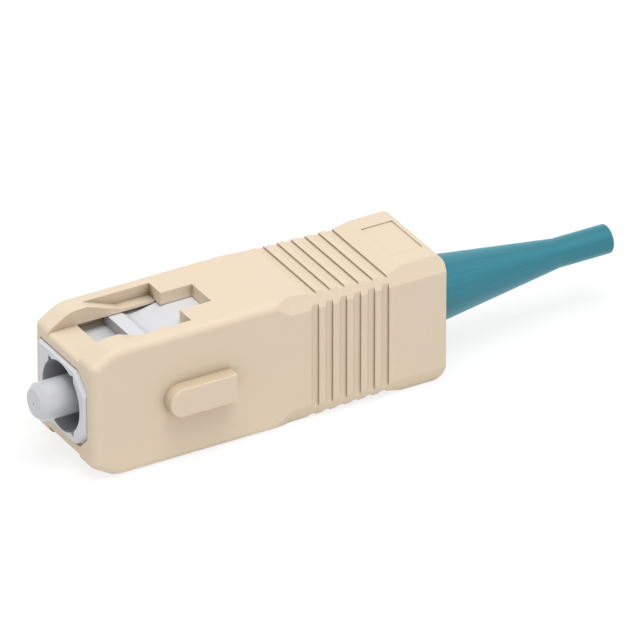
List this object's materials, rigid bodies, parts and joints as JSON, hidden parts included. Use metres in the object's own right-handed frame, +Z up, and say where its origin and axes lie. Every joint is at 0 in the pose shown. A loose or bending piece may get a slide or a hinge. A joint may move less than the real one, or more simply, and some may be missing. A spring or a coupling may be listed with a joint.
{
  "type": "sc fibre optic connector plug",
  "caption": "Square push-pull fibre plug: sliding beige grip with hook windows, grey inner plug, sprung ceramic ferrule and tapered blue boot.",
  "frame": {"origin": "on the optical axis, in the plane of the grip's front face, inside the span of the ferrule's free end", "axes": "+X along the optical axis from the mating end to the boot, alignment key on the -Y side, hook windows above and below, +Z up"},
  "size_m": [0.0411, 0.0083, 0.009],
  "materials": {
    "grip_plastic": "fine matt moulded beige",
    "frame_plastic": "satin moulded light grey",
    "zirconia": "ground and polished ceramic",
    "plated_metal": "satin nickel plate",
    "tube_plastic": "drawn tube",
    "spring_steel": "drawn wire",
    "boot_rubber": "satin elastomer"
  },
  "bodies": {
    "grip": {"grip": "grip_plastic"},
    "plug": {"plug_frame": "frame_plastic", "stop_ring": "plated_metal", "boot": "boot_rubber", "ferrule_spring": "spring_steel"},
    "ferrule_unit": {"ferrule": "zirconia", "ferrule_flange": "plated_metal", "buffer_tube": "tube_plastic"}
  },
  "joints": [
    {"name": "grip_slide", "type": "slide", "parent": "grip", "child": "plug", "axis": [-1, 0, 0], "range_m": [0, 0.002]},
    {"name": "ferrule_push", "type": "slide", "parent": "plug", "child": "ferrule_unit", "axis": [1, 0, 0], "range_m": [0, 0.0015], "stiffness_N_per_m": 1500, "deforming": ["ferrule_spring"]}
  ]
}
